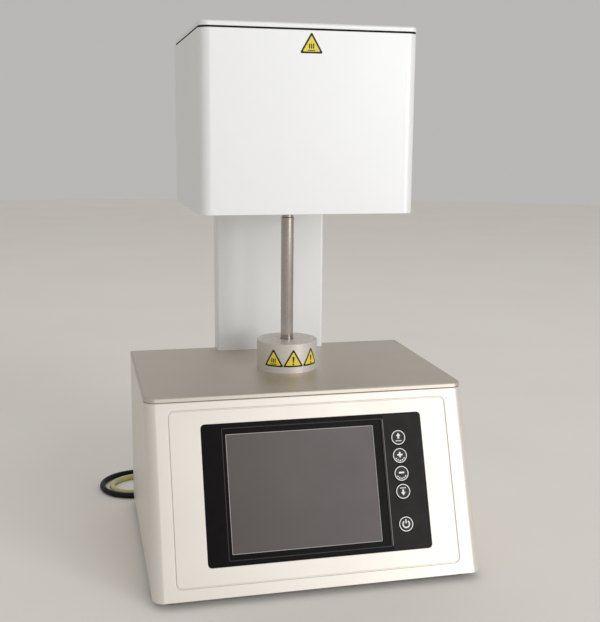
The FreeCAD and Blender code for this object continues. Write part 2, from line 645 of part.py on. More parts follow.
def hose_fitting():
    """Push-in fitting: hexagon body, release collet, and the pipe from it up to the chamber."""
    x, z = HOSE_PORT
    corners = [Vector(x + 9 * math.cos(math.radians(60 * i)), Y_BACK, z + 9 * math.sin(math.radians(60 * i)))
               for i in range(6)]
    nut = Part.Face(Part.makePolygon(corners + corners[:1])).extrude(Vector(0, 11, 0))
    barrel = [rod_y(5, Y_BACK - SHEET, Y_BACK, x, z), rod_y(7, Y_BACK + 11, Y_BACK + 14, x, z),
              rod_y(5.5, Y_BACK + 14, Y_REACH, x, z)]
    return group([fused([nut] + barrel), tube(PIPE_ROUTE, 2.5)])


def rear_screws():
    """Pan heads that hold the rear panel, the column back and the head back."""
    spots = [(x, z) for x in (-HALF_W + 9, HALF_W - 9) for z in (22, 100, 180)]
    spots += [(x, z) for x in (-58, 58) for z in (212, 290, 370)]
    spots += [(x, z) for x in (-HEAD_HALF + 9, HEAD_HALF - 9) for z in (396, 475, 555)]
    heads = []
    for x, z in spots:
        head = rod_y(3.2, Y_BACK, Y_BACK + 1.8, x, z)
        cross = fused([box(x - 2, x + 2, Y_BACK + 1, Y_BACK + 3, z - 0.4, z + 0.4),
                       box(x - 0.4, x + 0.4, Y_BACK + 1, Y_BACK + 3, z - 2, z + 2)])
        heads.append(head.cut(cross))
    return group(heads)


# ---- cords ----
LEAD_ROUTE = [(-118, 156, 64), (-118, 156, 42), (-132, 155, 17.8), (-154, 153, REST_Z),
              (-182.5, 151, REST_Z), (-205.5, 167.5, REST_Z), (-214, 194.5, REST_Z), (-205.5, 221.5, REST_Z),
              (-182.5, 238, REST_Z), (-150, 241.5, REST_Z), (-108, 243.5, REST_Z), (-66, 248.5, REST_Z),
              (-24, 256.5, REST_Z), (20, 260, REST_Z), (60, 259, REST_Z), (96, 256.5, REST_Z)]
LEAD_TAIL = [(96, 256.5, 10.5), (116, 255.8, 9), (134.5, 250.5, 7), (149, 239.5, 6),
             (157.5, 225, 8.3), (160, 209, 11)]
HOSE_ROUTE = [(-50, Y_REACH, 80), (-50, 181, 79.5), (-55, 203, 69), (-70, 214, 49), (-90, 213, 28),
              (-109, 203, 12), (-127, 189, REST_Z), (-147, 171, REST_Z), (-173, 160, REST_Z),
              (-197, 173, REST_Z), (-201, 200, REST_Z), (-183, 220, REST_Z), (-150, 226.5, REST_Z),
              (-110, 227.5, REST_Z), (-72, 235, REST_Z), (-38, 239.5, REST_Z), (-8, 240.5, REST_Z)]
HOSE_TAIL = [(-8, 149.5, 10.5), (-29, 149.5, 9), (-48, 153, 7), (-66, 158, 6.5)]


def coil(centre):
    """Outer form of a neat round coil lying on the table."""
    body = ring(COIL_R[1], COIL_R[0], 0, COIL_H, *centre)
    return body.makeFillet(2.5, [e for e in body.Edges if e.BoundBox.ZLength < 1e-6])


def mains_lead():
    return group([tube(LEAD_ROUTE, LEAD_R), tube(LEAD_TAIL, LEAD_R)])


def mains_coil():
    return coil(LEAD_COIL)


def mains_connector():
    """Angled appliance connector whose cable leaves downwards through a tapered relief."""
    x, z = INLET
    _, y, low = LEAD_ROUTE[0]
    body = fused([slab(x - 12, x + 12, Y_BACK + 2, y + 11, z - 17, z + 8, 2)])
    nose = box(x - 11.6, x + 11.6, Y_BACK - 2, Y_BACK + 2, z - 7.6, z + 7.6)
    relief = Part.makeCone(LEAD_R + 1.2, 8.0, z - 17 - low, Vector(x, y, low), Z)
    return fused([body, nose, relief])


def mains_plug():
    """Straight moulded plug with two blades and an earth pin, beside the coil."""
    x, y, z = LEAD_TAIL[-1]
    body = box(x - 12, x + 12, y - 42, y - 20, 0, 22)
    body = body.makeFillet(4, [e for e in body.Edges if e.BoundBox.YLength > 20])
    neck = Part.makeCone(8.5, LEAD_R + 1.0, 20, Vector(x, y - 20, z), Y)
    blades = [box(x + a - 0.8, x + a + 0.8, y - 59, y - 42, z - 1, z + 5.4) for a in (-6.3, 6.3)]
    earth = rod_y(2.4, y - 62, y - 42, x, z - 5)
    return fused([body, neck, earth] + blades)


def vacuum_hose():
    return group([tube(HOSE_ROUTE, HOSE_R), tube(HOSE_TAIL, HOSE_R)])


def hose_coil():
    return coil(HOSE_COIL)


def hose_end():
    """Quick coupling on the hose's free end."""
    a, b = Vector(*HOSE_TAIL[-2]), Vector(*HOSE_TAIL[-1])
    way = Vector(b.x - a.x, b.y - a.y, 0)
    way.normalize()

    def stage(r, start, length):
        return Part.makeCylinder(r, length, b + way * start, way)
    return fused([stage(6.4, 0, 12), stage(5.2, 12, 6), stage(6.4, 18, 8), stage(3.6, 26, 8)])


NODES = [base_cover, top_plate, base_floor, feet, transformer, power_board,
         inset_plate, bezel, screen_glass, display_module, control_boards,
         collar, guide_bush, lift_rod, lift_carriage, lift_nut, lead_screw,
         motor_pulley, drive_belt, lift_brackets, lift_motor,
         firing_table, table_seal, table_plinth, firing_tray,
         column_shell, column_back, mast,
         head_cover, head_back, head_floor, head_lid, lid_seal,
         chamber_flange, heating_muffle, heating_coil, insulation, chamber_jacket, thermocouple,
         rear_panel, mains_inlet, switch_frame, switch_rocker, fan_frame, fan_rotor, fan_grille,
         hose_fitting, rear_screws,
         mains_connector, mains_lead, mains_coil, mains_plug, vacuum_hose, hose_coil, hose_end]

os.makedirs("parts", exist_ok=True)
for make in NODES:
    make().exportStep("parts/%s.step" % make.__name__)
for name, row in KEY_ROWS.items():
    key(row).exportStep("parts/%s.step" % name)
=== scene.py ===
import json
import math

import bmesh
import bpy
from mathutils import Matrix, Vector


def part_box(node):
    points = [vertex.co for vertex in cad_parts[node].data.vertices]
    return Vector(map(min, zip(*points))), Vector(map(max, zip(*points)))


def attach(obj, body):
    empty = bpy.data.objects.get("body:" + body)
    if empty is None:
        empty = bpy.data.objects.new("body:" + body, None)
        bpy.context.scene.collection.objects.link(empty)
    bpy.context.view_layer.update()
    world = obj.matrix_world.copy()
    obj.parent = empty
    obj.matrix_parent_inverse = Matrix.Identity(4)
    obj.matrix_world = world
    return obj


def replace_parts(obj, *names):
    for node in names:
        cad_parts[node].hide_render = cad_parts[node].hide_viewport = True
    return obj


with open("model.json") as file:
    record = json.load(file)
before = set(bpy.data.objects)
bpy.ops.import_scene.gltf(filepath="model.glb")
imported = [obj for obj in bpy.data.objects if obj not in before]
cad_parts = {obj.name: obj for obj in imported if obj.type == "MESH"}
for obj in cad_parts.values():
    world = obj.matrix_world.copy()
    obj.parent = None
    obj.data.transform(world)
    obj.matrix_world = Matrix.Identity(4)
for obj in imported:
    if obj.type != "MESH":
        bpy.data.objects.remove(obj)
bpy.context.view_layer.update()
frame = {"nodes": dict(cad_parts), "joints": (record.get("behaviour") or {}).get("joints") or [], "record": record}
record = frame["record"]
MM = 0.001

BODY_OF = {node: body for body, nodes in record["behaviour"]["bodies"].items() for node in nodes}
SLOT_OF = {part["node"]: part["material_slot"] for part in record["subparts"]}


# ---- places taken from the frame ----
def middle(node):
    low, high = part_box(node)
    return (low + high) / 2


X, Z = Vector((1, 0, 0)), Vector((0, 0, 1))
INWARD = Vector(next(j["axis"] for j in frame["joints"] if j["name"] == "up_press"))
DOWN = INWARD.cross(X)
COVER_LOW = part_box("base_cover")[0]
BASE_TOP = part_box("top_plate")[1].z
PANEL_TOP = Vector((0, COVER_LOW.y - (BASE_TOP - COVER_LOW.z) * INWARD.z / INWARD.y, BASE_TOP))
COLLAR = middle("collar")
COLLAR_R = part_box("collar")[1].x
HEAD_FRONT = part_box("head_cover")[0].y
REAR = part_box("rear_panel")[1].y


def on_panel(x, down, out=0.0):
    """A point on the sloping panel: across, down the slope from its top edge, and proud of it."""
    return PANEL_TOP + X * x + DOWN * down - INWARD * out


def panel_extent(node):
    """Least and most x, distance down the slope and depth of a node on the panel."""
    points = [v.co - PANEL_TOP for v in frame["nodes"][node].data.vertices]
    spans = [[p.x for p in points], [p.dot(DOWN) for p in points], [p.dot(INWARD) for p in points]]
    return [(min(s), max(s)) for s in spans]


# ---- materials ----
def linear(red, green, blue):
    """Shader colour of a colour given as it looks, 0 to 255."""
    def one(c):
        c /= 255
        return c / 12.92 if c <= 0.04045 else ((c + 0.055) / 1.055) ** 2.4
    return (one(red), one(green), one(blue), 1)


class Look:
    """A procedural material: a Principled shader with grain, mottling and bump from noise."""

    def __init__(self, name, colour, roughness, metallic=0.0, **sockets):
        self.material = bpy.data.materials.new(name)
        self.material.use_nodes = True
        self.tree = self.material.node_tree
        self.shader = self.tree.nodes["Principled BSDF"]
        self.colour = linear(*colour)
        self.set("Base Color", self.colour)
        self.set("Roughness", roughness)
        self.set("Metallic", metallic)
        for socket, value in sockets.items():
            self.set(socket.replace("_", " "), value)
        self.place = self.tree.nodes.new("ShaderNodeTexCoord").outputs["Object"]
        self.normal = None

    def set(self, socket, value):
        self.shader.inputs[socket].default_value = value

    def node(self, kind, **inputs):
        node = self.tree.nodes.new(kind)
        for socket, value in inputs.items():
            self.plug(value, node.inputs[socket.replace("_", " ")])
        return node

    def plug(self, value, socket):
        if isinstance(value, bpy.types.NodeSocket):
            self.tree.links.new(value, socket)
        else:
            socket.default_value = value

    def noise(self, scale, detail=2.0, stretch=(1, 1, 1)):
        mapping = self.node("ShaderNodeMapping", Vector=self.place, Scale=stretch)
        texture = self.node("ShaderNodeTexNoise", Vector=mapping.outputs[0], Scale=scale, Detail=detail)
        return texture.outputs["Fac"]

    def spread(self, value, low, high, source=(0.3, 0.7)):
        """The value's usual range stretched to low..high."""
        node = self.node("ShaderNodeMapRange", Value=value, From_Min=source[0], From_Max=source[1],
                         To_Min=low, To_Max=high)
        return node.outputs["Result"]

    def tint(self, fac, other, low=0.0, high=1.0):
        """Mixes a second colour in where fac is high."""
        mix = self.tree.nodes.new("ShaderNodeMix")
        mix.data_type = "RGBA"
        before = self.shader.inputs["Base Color"]
        first = before.links[0].from_socket if before.is_linked else self.colour
        self.plug(self.spread(fac, low, high), mix.inputs["Factor"])
        self.plug(first, mix.inputs["A"])
        self.plug(linear(*other), mix.inputs["B"])
        self.plug(mix.outputs["Result"], before)
        return self

    def rough(self, fac, low, high):
        self.plug(self.spread(fac, low, high), self.shader.inputs["Roughness"])
        return self

    def bump(self, height, strength, distance):
        node = self.node("ShaderNodeBump", Height=height, Strength=strength, Distance=distance)
        if self.normal:
            self.plug(self.normal, node.inputs["Normal"])
        self.normal = node.outputs["Normal"]
        self.plug(self.normal, self.shader.inputs["Normal"])
        return self


def paint(name, colour, shade, roughness, metallic, grain=1.0):
    """Satin sheet paint: fine powder grain, a slow unevenness and a few dull patches."""
    look = Look(name, colour, roughness, metallic)
    look.tint(look.noise(9, 3), shade, 0.0, 0.55)
    look.rough(look.noise(26, 4), roughness - 0.015, roughness + 0.025)
    look.bump(look.noise(1500, 2), 0.10 * grain, 0.1 * MM)
    return look.bump(look.noise(240, 2), 0.05 * grain, 0.2 * MM)


def metal(name, colour, shade, roughness, stretch=(1, 1, 1), scale=900, streak=0.25, metallic=1.0):
    """Bare metal with tool marks that run along the least stretched axis."""
    look = Look(name, colour, roughness, metallic)
    marks = look.noise(scale, 3, stretch)
    look.tint(marks, shade, 0.0, 0.7)
    look.tint(look.noise(30, 4), shade, 0.0, 0.35)
    look.rough(marks, roughness * 0.75, roughness * 1.35)
    return look.bump(marks, streak, 0.05 * MM)


def plastic(name, colour, shade, roughness, grain=1400, strength=0.2, shine=0.5):
    """Moulded plastic with a spark-eroded grain and slight wear."""
    look = Look(name, colour, roughness, Specular_IOR_Level=shine)
    look.tint(look.noise(40, 4), shade, 0.0, 0.6)
    look.rough(look.noise(90, 3), roughness - 0.04, roughness + 0.05)
    return look.bump(look.noise(grain, 2), strength, 0.08 * MM)


def fibrous(name, colour, shade, roughness, scale=500):
    """Pressed ceramic fibre or bisque: soft lumps, specks and a chalky surface."""
    look = Look(name, colour, roughness)
    look.tint(look.noise(60, 5), shade, 0.0, 0.8)
    look.tint(look.noise(1300, 1), shade, -0.6, 0.9)
    look.bump(look.noise(scale, 5), 0.5, 0.3 * MM)
    return look.bump(look.noise(110, 3), 0.3, 0.6 * MM)


def clear_hose():
    """Silicone hose gone slightly yellow, milky, with faint extrusion lines."""
    look = Look("clear_hose", (214, 208, 156), 0.3, IOR=1.41, Subsurface_Weight=0.5, Subsurface_Scale=0.003,
                Coat_Weight=0.4, Coat_Roughness=0.12)
    look.set("Subsurface Radius", (1.0, 0.9, 0.5))
    look.tint(look.noise(55, 3), (190, 184, 128), 0.0, 0.7)
    look.rough(look.noise(120, 3), 0.26, 0.36)
    return look.bump(look.noise(900, 2), 0.06, 0.05 * MM)


def quartz():
    """Milky quartz glass."""
    look = Look("quartz", (226, 230, 230), 0.3, Transmission_Weight=0.6, IOR=1.46)
    look.tint(look.noise(80, 3), (196, 200, 198), 0.0, 0.7)
    return look.bump(look.noise(300, 3), 0.2, 0.1 * MM)


def unlit_display():
    """Touch glass over an unlit display: smoky grey with a painted reflection in slow darker, redder patches, and
    a faint weave of the foil under it.
    """
    look = Look("unlit_display", (80, 71, 69), 0.36, Coat_Weight=0.15, Coat_Roughness=0.2)
    # painted reflection: slow patches of darker, redder grey across the glass
    look.tint(look.noise(5, 2), (66, 56, 54), 0.0, 0.9)
    weave = look.noise(2200, 1)
    look.rough(look.noise(45, 4), 0.33, 0.40)
    return look.bump(weave, 0.05, 0.03 * MM)


LOOKS = {       # each with its colour, a second colour mixed into it, its roughness and its grain
    "cover_paint": paint("cover_paint", (230, 224, 216), (224, 217, 208), 0.42, 0.45),
    "top_paint": paint("top_paint", (206, 199, 187), (197, 190, 178), 0.44, 0.7),
    "head_paint": paint("head_paint", (240, 241, 242), (236, 237, 238), 0.42, 0.15, 0.7),
    "rear_paint": paint("rear_paint", (224, 222, 218), (216, 214, 209), 0.46, 0.2),
    "floor_sheet": metal("zinc_sheet", (176, 178, 180), (140, 143, 148), 0.38, (1, 1, 1), 120, 0.2),
    "foot_rubber": plastic("foot_rubber", (32, 31, 31), (46, 45, 44), 0.75, 900, 0.5),
    "winding": plastic("winding_tape", (150, 98, 44), (104, 62, 26), 0.45, 500, 0.5),
    "board": plastic("circuit_board", (26, 92, 52), (18, 66, 40), 0.35, 700, 0.3),
    "bezel_gloss": plastic("bezel_black", (11, 7, 9), (16, 12, 13), 0.30, 1800, 0.05, 0.08),
    "screen": unlit_display(),
    "display_can": metal("display_can", (170, 170, 172), (140, 140, 143), 0.35, (1, 8, 1), 400),
    "key_cap": plastic("key_cap", (22, 20, 21), (29, 27, 27), 0.42, 1600, 0.12, 0.3),
    "collar_metal": metal("collar_aluminium", (228, 223, 216), (208, 202, 195), 0.45, (1, 1, 18), 260,
                          0.06, 0.4),
    "bush": metal("bush_bronze", (196, 148, 84), (150, 104, 52), 0.3, (1, 1, 12), 500),
    "rod_steel": metal("rod_steel", (196, 190, 185), (150, 144, 138), 0.07, (1, 1, 6), 500, 0.01),
    "carriage_metal": metal("carriage_aluminium", (200, 202, 204), (168, 170, 174), 0.34, (1, 9, 1), 600),
    "screw_steel": metal("screw_steel", (160, 160, 163), (112, 112, 116), 0.3, (1, 1, 40), 300, 0.6),
    "belt_rubber": plastic("seal_rubber", (10, 10, 10), (17, 16, 16), 0.75, 1200, 0.35, 0.2),
    "motor_case": plastic("motor_lacquer", (30, 30, 32), (44, 44, 46), 0.34, 800, 0.2),
    "table_steel": metal("table_steel", (184, 181, 176), (150, 143, 134), 0.3, (1, 1, 14), 500),
    "seal_silicone": plastic("seal_silicone", (150, 62, 42), (122, 46, 32), 0.55, 900, 0.25),
    "fibre_board": fibrous("fibre_board", (238, 234, 222), (214, 205, 186), 0.92),
    "tray_ceramic": fibrous("tray_ceramic", (228, 220, 202), (202, 188, 162), 0.8, 900),
    "quartz": quartz(),
    "heater_wire": metal("heater_wire", (96, 88, 82), (62, 54, 50), 0.5, (1, 1, 1), 600, 0.5),
    "socket_plastic": plastic("socket_plastic", (28, 28, 28), (38, 37, 37), 0.42, 1300, 0.3),
    "rocker_plastic": plastic("rocker_plastic", (24, 24, 25), (34, 34, 35), 0.22, 1700, 0.08),
    "grille_wire": metal("grille_wire", (198, 198, 200), (166, 166, 170), 0.22, (1, 1, 1), 500, 0.1),
    "fitting_metal": metal("fitting_nickel", (192, 187, 176), (158, 150, 136), 0.26, (1, 14, 1), 400),
    "screw_head": metal("screw_zinc", (176, 177, 180), (136, 138, 142), 0.3, (1, 1, 1), 900, 0.2),
    "cord_black": plastic("cord_black", (16, 15, 15), (24, 23, 22), 0.5, 1500, 0.3, 0.25),
    "hose_clear": clear_hose(),
    "sticker_yellow": plastic("sticker_yellow", (240, 222, 78), (231, 209, 58), 0.45, 1500, 0.05, 0.3),
    "sticker_black": plastic("sticker_black", (20, 18, 15), (29, 26, 22), 0.45, 1500, 0.05, 0.3),
    "print_white": plastic("print_white", (250, 249, 247), (238, 237, 234), 0.5, 1500, 0.1),
    "film_charcoal": plastic("film_charcoal", (28, 26, 25), (34, 32, 31), 0.46, 1900, 0.10, 0.15),
    # painted highlight: pale grey for the lit step round the display glass, drawn as a line all round it
    "outline_grey": plastic("outline_grey", (186, 181, 176), (160, 154, 148), 0.35, 1500, 0.05),
    # painted highlight: light grey standing in for the light caught by the ridge beside the screen
    "painted_edge_highlight": plastic("painted_edge_highlight", (104, 98, 97), (84, 78, 77), 0.35, 1500, 0.05),
    # painted highlight: dimmer grey standing in for the light on the edge of the screen's recess
    "painted_dim_highlight": plastic("painted_dim_highlight", (58, 51, 52), (46, 41, 42), 0.35, 1500, 0.05, 0.3),
    "tie_black": plastic("tie_black", (36, 35, 36), (54, 52, 52), 0.85, 700, 0.8),
}


# ---- making pieces ----
def finish_piece(name, mesh, slot, body, sharp=35, looks=None):
    """Links a mesh as a piece of the object, shaded smooth between its sharp edges. It has its slot's
    look, unless others are named."""
    piece = bpy.data.objects.new(name, mesh)
    bpy.context.scene.collection.objects.link(piece)
    mesh.materials.clear()
    for look in looks or [slot]:
        mesh.materials.append(LOOKS[look].material)
    mesh.polygons.foreach_set("use_smooth", [True] * len(mesh.polygons))
    mesh.set_sharp_from_angle(angle=math.radians(sharp))
    weigh = piece.modifiers.new("even_shading", "WEIGHTED_NORMAL")
    weigh.keep_sharp = True
    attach(piece, body)
    return piece


def refined(node, radius, steps=2, angle=32):
    """A node's shape with its sharp edges rounded as real sheet, turned or moulded edges are."""
    work = bmesh.new()
    work.from_mesh(frame["nodes"][node].data)
    bmesh.ops.remove_doubles(work, verts=work.verts, dist=1e-6)
    bmesh.ops.dissolve_limit(work, angle_limit=math.radians(0.3), verts=work.verts, edges=work.edges)
    sharp = [e for e in work.edges if len(e.link_faces) == 2 and e.calc_face_angle() > math.radians(angle)]
    bmesh.ops.bevel(work, geom=sharp, offset=radius * MM, segments=steps, profile=0.5,
                    affect="EDGES", clamp_overlap=True)
    mesh = bpy.data.meshes.new(node + "_made")
    work.to_mesh(mesh)
    work.free()
    piece = finish_piece(node + "_made", mesh, SLOT_OF[node], BODY_OF[node])
    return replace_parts(piece, node)


def from_outlines(name, outlines, thickness, place, slot, body, cuts=(), looks=None):
    """A thin flat piece from closed outlines (an outline inside another is a hole), put in place by
    place(x, y, out). cuts are the x at which it is divided, so that it can follow a round surface."""
    curve = bpy.data.curves.new(name, "CURVE")
    curve.dimensions, curve.fill_mode, curve.extrude = "2D", "BOTH", thickness * MM / 2
    for points in outlines:
        spline = curve.splines.new("POLY")
        spline.points.add(len(points) - 1)
        for point, (x, y) in zip(spline.points, points):
            point.co = (x * MM, y * MM, 0, 1)
        spline.use_cyclic_u = True
    holder = bpy.data.objects.new(name, curve)
    mesh = bpy.data.meshes.new_from_object(holder)
    bpy.data.objects.remove(holder)
    bpy.data.curves.remove(curve)
    work = bmesh.new()
    work.from_mesh(mesh)
    bmesh.ops.remove_doubles(work, verts=work.verts, dist=1e-6)
    for x in cuts:
        bmesh.ops.bisect_plane(work, geom=work.verts[:] + work.edges[:] + work.faces[:],
                               plane_co=(x * MM, 0, 0), plane_no=(1, 0, 0))
    for vert in work.verts:
        vert.co = place(vert.co.x, vert.co.y, vert.co.z + thickness * MM / 2)
    bmesh.ops.recalc_face_normals(work, faces=work.faces)
    work.to_mesh(mesh)
    work.free()
    return finish_piece(name, mesh, slot, body, looks=looks)


def turned(name, profile, centre, slot, body, axis=Z, steps=96):
    """A turned piece: its profile, (radius, height) in millimetres, goes round an axis."""
    turn = Z.rotation_difference(axis).to_matrix()
    work = bmesh.new()
    rings = []
    for radius, height in profile:
        angles = [2 * math.pi * i / steps for i in range(steps)]
        points = [Vector((radius * math.cos(a), radius * math.sin(a), height)) * MM for a in angles]
        rings.append([work.verts.new(centre + turn @ p) for p in points])
    for low, high in zip(rings, rings[1:]):
        for i in range(steps):
            work.faces.new((low[i], low[(i + 1) % steps], high[(i + 1) % steps], high[i]))
    work.faces.new(rings[0])
    work.faces.new(rings[-1])
    bmesh.ops.remove_doubles(work, verts=work.verts, dist=1e-7)
    bmesh.ops.recalc_face_normals(work, faces=work.faces)
    mesh = bpy.data.meshes.new(name)
    work.to_mesh(mesh)
    work.free()
    return finish_piece(name, mesh, slot, body)


def hoop(name, radius, wire, centre, axis, slot, body, steps=72, sides=12):
    """A wire ring."""
    turn = Z.rotation_difference(axis).to_matrix()
    work = bmesh.new()
    rings = []
    for i in range(steps):
        a = 2 * math.pi * i / steps
        out = Vector((math.cos(a), math.sin(a), 0))
        spots = [2 * math.pi * k / sides for k in range(sides)]
        points = [(out * (radius + wire * math.cos(b)) + Z * wire * math.sin(b)) * MM for b in spots]
        rings.append([work.verts.new(centre + turn @ p) for p in points])
    for i, ring in enumerate(rings):
        after = rings[(i + 1) % steps]
        for k in range(sides):
            work.faces.new((ring[k], after[k], after[(k + 1) % sides], ring[(k + 1) % sides]))
    bmesh.ops.recalc_face_normals(work, faces=work.faces)
    mesh = bpy.data.meshes.new(name)
    work.to_mesh(mesh)
    work.free()
    return finish_piece(name, mesh, slot, body, sharp=80)


# ---- outlines, in millimetres ----
def arc(x, y, radius, start, end, steps=24):
    """Points on an arc, its angles in degrees."""
    angles = [math.radians(start + (end - start) * i / steps) for i in range(steps + 1)]
    return [(x + radius * math.cos(a), y + radius * math.sin(a)) for a in angles]


def circle(x, y, radius, steps=64):
    return arc(x, y, radius, 0, 360 * (steps - 1) / steps, steps - 1)


def band(x, y, inner, outer, start, end, steps=24):
    return arc(x, y, outer, start, end, steps) + arc(x, y, inner, end, start, steps)


def rectangle(x0, x1, y0, y1, corner=0.0):
    if not corner:
        return [(x0, y0), (x1, y0), (x1, y1), (x0, y1)]
    centres = [(x1 - corner, y1 - corner), (x0 + corner, y1 - corner),
               (x0 + corner, y0 + corner), (x1 - corner, y0 + corner)]
    return [p for i, (x, y) in enumerate(centres) for p in arc(x, y, corner, 90 * i, 90 * i + 90, 8)]


def triangle(side, corner):
    """Equal-sided triangle, point up, with rounded corners."""
    reach = side / math.sqrt(3) - 2 * corner
    points = []
    for a in (90, 210, 330):
        x, y = reach * math.cos(math.radians(a)), reach * math.sin(math.radians(a))
        points += arc(x, y, corner, a - 60, a + 60, 8)
    return points


# ---- camera ----
CAMERA_PLACE = (-0.2355, -1.0387, 0.4641)
CAMERA_TURN = (0.232, 0.182, 0.008)     # to the right, down and rolled, in radians
CAMERA_LENS = 55.23


def aim_camera():
    """A camera a little to the left of the object and above its base, looking slightly down."""
    camera = bpy.data.objects.new("camera", bpy.data.cameras.new("camera"))
    bpy.context.scene.collection.objects.link(camera)
    yaw, pitch, roll = CAMERA_TURN
    ahead = Vector((math.sin(yaw) * math.cos(pitch), math.cos(yaw) * math.cos(pitch), -math.sin(pitch)))
    right = Vector((math.cos(yaw), -math.sin(yaw), 0))
    up = right.cross(ahead)
    right, up = (right * math.cos(roll) + up * math.sin(roll), up * math.cos(roll) - right * math.sin(roll))
    turn = Matrix((right, up, -ahead)).transposed().to_4x4()
    camera.matrix_world = Matrix.Translation(CAMERA_PLACE) @ turn
    camera.data.sensor_fit, camera.data.sensor_width = "AUTO", 36
    camera.data.lens = CAMERA_LENS
    bpy.context.scene.camera = camera


# ---- cords ----
LEAD_D = HOSE_D = 0.007
REST_Z = 0.0035
LEAD_ROUTE = [(-0.118, 0.156, 0.064), (-0.118, 0.156, 0.042), (-0.132, 0.155, 0.0178),
              (-0.154, 0.153, REST_Z), (-0.1825, 0.151, REST_Z), (-0.2055, 0.1675, REST_Z),
              (-0.214, 0.1945, REST_Z), (-0.2055, 0.2215, REST_Z), (-0.1825, 0.238, REST_Z),
              (-0.150, 0.2415, REST_Z), (-0.108, 0.2435, REST_Z), (-0.066, 0.2485, REST_Z),
              (-0.024, 0.2565, REST_Z), (0.020, 0.260, REST_Z), (0.060, 0.259, REST_Z),
              (0.096, 0.2565, REST_Z)]
LEAD_TAIL = [(0.096, 0.2565, 0.0105), (0.116, 0.2558, 0.009), (0.1345, 0.2505, 0.007),
             (0.149, 0.2395, 0.006), (0.1575, 0.225, 0.0083), (0.160, 0.209, 0.011)]
HOSE_ROUTE = [(-0.050, 0.159, 0.080), (-0.050, 0.181, 0.0795), (-0.055, 0.203, 0.069),
              (-0.070, 0.214, 0.049), (-0.090, 0.213, 0.028), (-0.109, 0.203, 0.012),
              (-0.127, 0.189, REST_Z), (-0.147, 0.171, REST_Z), (-0.173, 0.160, REST_Z),
              (-0.197, 0.173, REST_Z), (-0.201, 0.200, REST_Z), (-0.183, 0.220, REST_Z),
              (-0.150, 0.2265, REST_Z), (-0.110, 0.2275, REST_Z), (-0.072, 0.235, REST_Z),
              (-0.038, 0.2395, REST_Z), (-0.008, 0.2405, REST_Z)]
HOSE_TAIL = [(-0.008, 0.1495, 0.0105), (-0.029, 0.1495, 0.009), (-0.048, 0.153, 0.007),
             (-0.066, 0.158, 0.0065)]
PER_TURN = 16          # route points in one turn of a coil
COIL_OUTER = 0.0455    # radius of the outermost turn's middle line
PLUG_BODY = 0.0423     # from the cord's end in the plug to the root of its blades
TIE_REACH = (18.2, 4.2)     # millimetres that a strap reaches inside and outside that middle line
TIE_CORNER = 4.2
OFF_TABLE = 0.05            # millimetres between a strap and the table


def eased(value, start, end):
    """0 before start, 1 after end, smooth between."""
    t = min(max((value - start) / (end - start), 0), 1)
    return t * t * (3 - 2 * t)


def coil_points(centre, turns, pitch):
    """Turns laid side by side inwards on the table, then back outwards on top of them."""
    points = []
    for step in range(1, round(turns * PER_TURN)):
        turn, phase = divmod(step / PER_TURN, 1)
        if turn < 3:
            inward = turn + (eased(phase, 0.76, 1.0) if turn < 2 else 0)
            height = eased(phase, 0.45, 0.74) if turn == 2 else 0
        else:
            inward = 5 - turn - eased(phase, 0.0, 0.3)
            height = 1
        radius = (COIL_OUTER - pitch * inward) / (0.5 + 0.5 * math.cos(math.pi / PER_TURN))
        angle = 2 * math.pi * phase
        points.append((centre.x + radius * math.sin(angle), centre.y + radius * math.cos(angle),
                       REST_Z + pitch * height))
    return points


def cord_piece(name, route, diameter, slot):
    """A round cord along one smooth line."""
    curve = bpy.data.curves.new(name, "CURVE")
    curve.dimensions = "3D"
    curve.bevel_depth, curve.bevel_resolution, curve.resolution_u = diameter / 2, 6, 8
    curve.use_fill_caps = True
    spline = curve.splines.new("NURBS")
    spline.points.add(len(route) - 1)
    for point, place in zip(spline.points, route):
        point.co = (*place, 1)
    spline.order_u = 3
    spline.use_endpoint_u = True
    curve.materials.append(LOOKS[slot].material)
    piece = bpy.data.objects.new(name, curve)
    bpy.context.scene.collection.objects.link(piece)
    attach(piece, "housing")
    return piece


def tie(name, node, angle, width=9.0, thickness=1.0):
    """A hook-and-loop strap closed round one side of a coil."""
    low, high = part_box(node)
    centre = (low + high) / 2
    base = Vector((centre.x, centre.y, 0))
    inner, outer = COIL_OUTER * 1000 - TIE_REACH[0], COIL_OUTER * 1000 + TIE_REACH[1]
    path = rectangle(inner, outer, OFF_TABLE, (high.z - low.z) * 1000 + 0.5, TIE_CORNER)
    out = Vector((math.cos(angle), math.sin(angle), 0))
    along = Vector((-out.y, out.x, 0))
    work = bmesh.new()
    hub = Vector((sum(p[0] for p in path), sum(p[1] for p in path))) / len(path)
    rings = []
    for r, z in path:
        way = (Vector((r, z)) - hub).normalized()
        skin = [(r, z), (r - way.x * thickness, z - way.y * thickness)]
        corners = [(skin[0], -1), (skin[0], 1), (skin[1], 1), (skin[1], -1)]
        spots = [out * p[0] + Z * max(p[1], OFF_TABLE) + along * side * width / 2 for p, side in corners]
        rings.append([work.verts.new(base + spot * MM) for spot in spots])
    for i, ring in enumerate(rings):
        after = rings[(i + 1) % len(rings)]
        for k in range(4):
            work.faces.new((ring[k], ring[(k + 1) % 4], after[(k + 1) % 4], after[k]))
    bmesh.ops.recalc_face_normals(work, faces=work.faces)
    mesh = bpy.data.meshes.new(name)
    work.to_mesh(mesh)
    work.free()
    return finish_piece(name, mesh, "tie_black", "housing")


